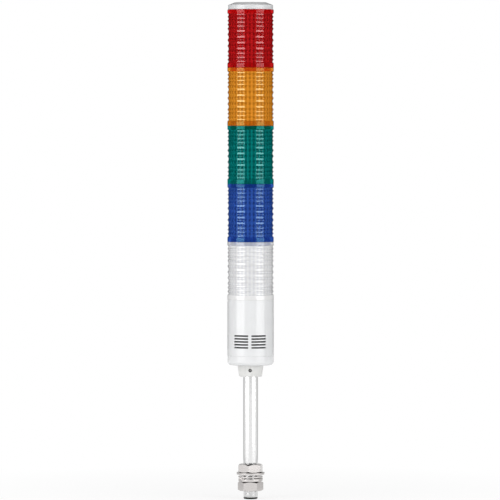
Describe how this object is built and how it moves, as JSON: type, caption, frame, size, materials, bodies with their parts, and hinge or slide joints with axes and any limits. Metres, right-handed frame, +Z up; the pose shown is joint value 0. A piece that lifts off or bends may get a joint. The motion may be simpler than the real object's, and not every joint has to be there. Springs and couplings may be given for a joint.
{
  "type": "stack light",
  "caption": "Signal tower of ribbed coloured lens tiers on a slotted sounder base, carried by a pole whose threaded end clamps into a panel with nuts and washers.",
  "frame": {"origin": "on the pole's axis, in the underside of the upper flat washer, which sits on the panel", "axes": "+Z up the pole to the cap; -Y is the front, with the sounder's slots and the set screw"},
  "size_m": [0.056, 0.056, 0.6011],
  "materials": {
    "lens_red": "moulded transparent plastic, ribbed outside and fluted inside",
    "lens_amber": "moulded transparent plastic, ribbed outside and fluted inside",
    "lens_green": "moulded transparent plastic, ribbed outside and fluted inside",
    "lens_blue": "moulded transparent plastic, ribbed outside and fluted inside",
    "lens_clear": "moulded clear plastic, ribbed outside and fluted inside",
    "cap": "moulded off-white plastic",
    "housing": "moulded off-white plastic, smooth satin gloss",
    "adapter": "light grey coated casting, satin",
    "pole": "polished steel tube",
    "plated_steel": "bright nickel plate on steel",
    "grommet": "black rubber",
    "seal": "black rubber",
    "tier_plate": "moulded white plastic",
    "circuit_board": "glass-fibre board with a pale solder mask",
    "led": "clear-topped LED package",
    "connector": "moulded connector body",
    "rod_steel": "zinc-plated steel",
    "screw_steel": "zinc-plated steel",
    "ring_nut": "plain turned",
    "sounder": "black moulded case",
    "terminal_block": "moulded green plastic"
  },
  "bodies": {
    "light": {"adapter_ring_nut": "ring_nut", "bottom_cover": "housing", "control_board": "circuit_board", "cover_screws": "screw_steel", "end_grommet": "grommet", "flat_washer_upper": "plated_steel", "led_board_amber": "circuit_board", "led_board_blue": "circuit_board", "led_board_clear": "circuit_board", "led_board_green": "circuit_board", "led_board_red": "circuit_board", "leds_amber": "led", "leds_blue": "led", "leds_clear": "led", "leds_green": "led", "leds_red": "led", "lens_amber": "lens_amber", "lens_blue": "lens_blue", "lens_clear": "lens_clear", "lens_green": "lens_green", "lens_red": "lens_red", "pole": "pole", "seal_amber": "seal", "seal_blue": "seal", "seal_cap": "seal", "seal_clear": "seal", "seal_green": "seal", "seal_red": "seal", "set_screw": "screw_steel", "sounder": "sounder", "sounder_board": "circuit_board", "sounder_housing": "housing", "stack_connector_amber": "connector", "stack_connector_blue": "connector", "stack_connector_clear": "connector", "stack_connector_green": "connector", "stack_connector_red": "connector", "stem_adapter": "adapter", "terminal_block": "terminal_block", "tie_rod_nuts": "rod_steel", "tie_rods": "rod_steel", "tier_plate_amber": "tier_plate", "tier_plate_blue": "tier_plate", "tier_plate_clear": "tier_plate", "tier_plate_green": "tier_plate", "tier_plate_red": "tier_plate", "top_cap": "cap", "upper_nut": "plated_steel"},
    "clamp_washers": {"flat_washer_lower": "plated_steel", "spring_washer": "plated_steel"},
    "clamp_nut": {"lower_nut": "plated_steel"}
  },
  "joints": [
    {"name": "clamp_travel", "type": "slide", "parent": "light", "child": "clamp_washers", "axis": [0, 0, 1], "range_m": [-0.007, 0.002]},
    {"name": "nut_turn", "type": "hinge", "parent": "clamp_washers", "child": "clamp_nut", "pos_m": [0, 0, -0.0143], "axis": [0, 0, 1], "range_deg": [-2520, 720]}
  ],
  "couplings": [
    {"joint": "clamp_travel", "follows": "nut_turn", "m_per_rad": 0.00015915}
  ]
}
